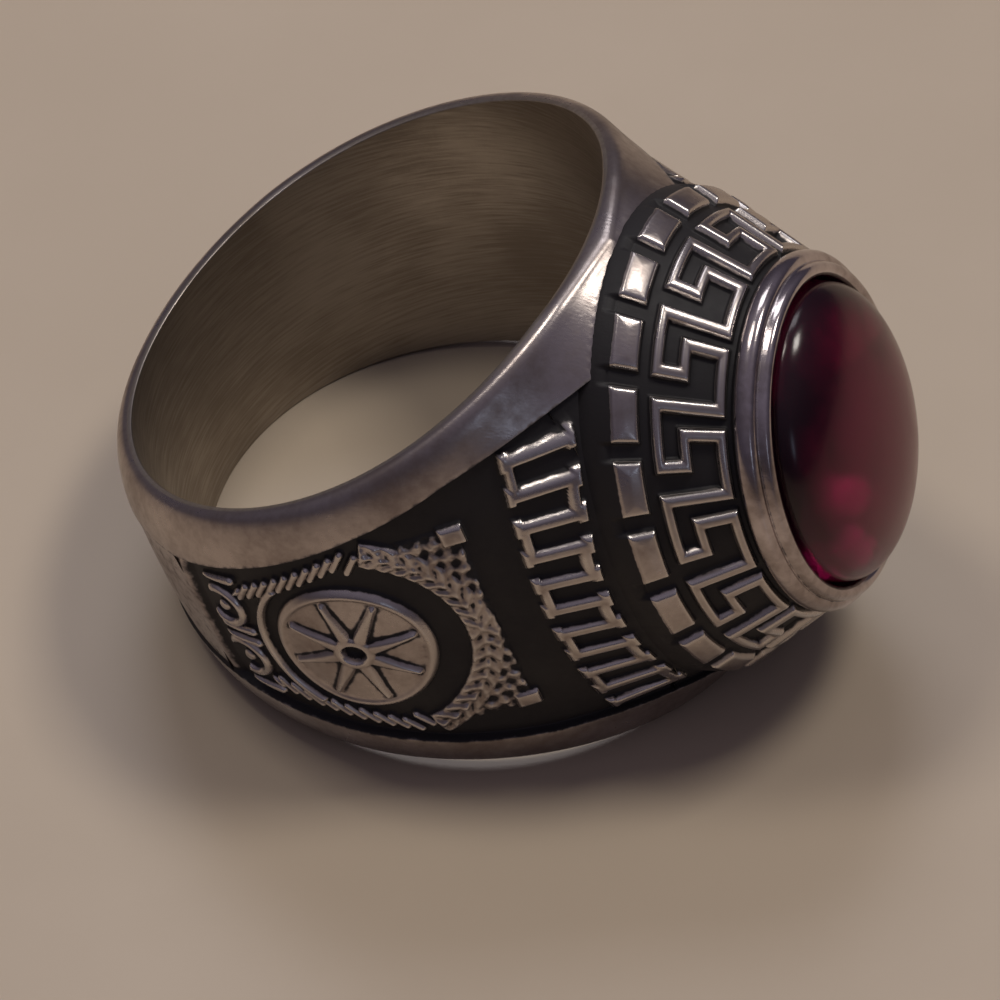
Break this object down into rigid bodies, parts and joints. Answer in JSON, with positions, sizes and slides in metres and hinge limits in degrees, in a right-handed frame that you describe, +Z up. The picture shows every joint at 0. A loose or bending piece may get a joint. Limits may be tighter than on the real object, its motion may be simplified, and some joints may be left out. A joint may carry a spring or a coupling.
{
  "type": "class ring",
  "caption": "Heavy ring whose band widens from back to head, with relief panels on its shoulders and an oval bezel that holds a domed stone.",
  "frame": {"origin": "middle of the bounding box's underside, on the surface the ring lies on", "axes": "+Z up with the ring lying on its side; +X from the back of the band towards the head; +Y across the finger hole"},
  "size_m": [0.0296, 0.0226, 0.0191],
  "materials": {
    "ring_body": "antiqued, polished on the high parts and dark in the recesses",
    "stone": "polished deep red"
  },
  "bodies": {
    "root": {"ring_body": "ring_body", "stone": "stone"}
  },
  "joints": []
}
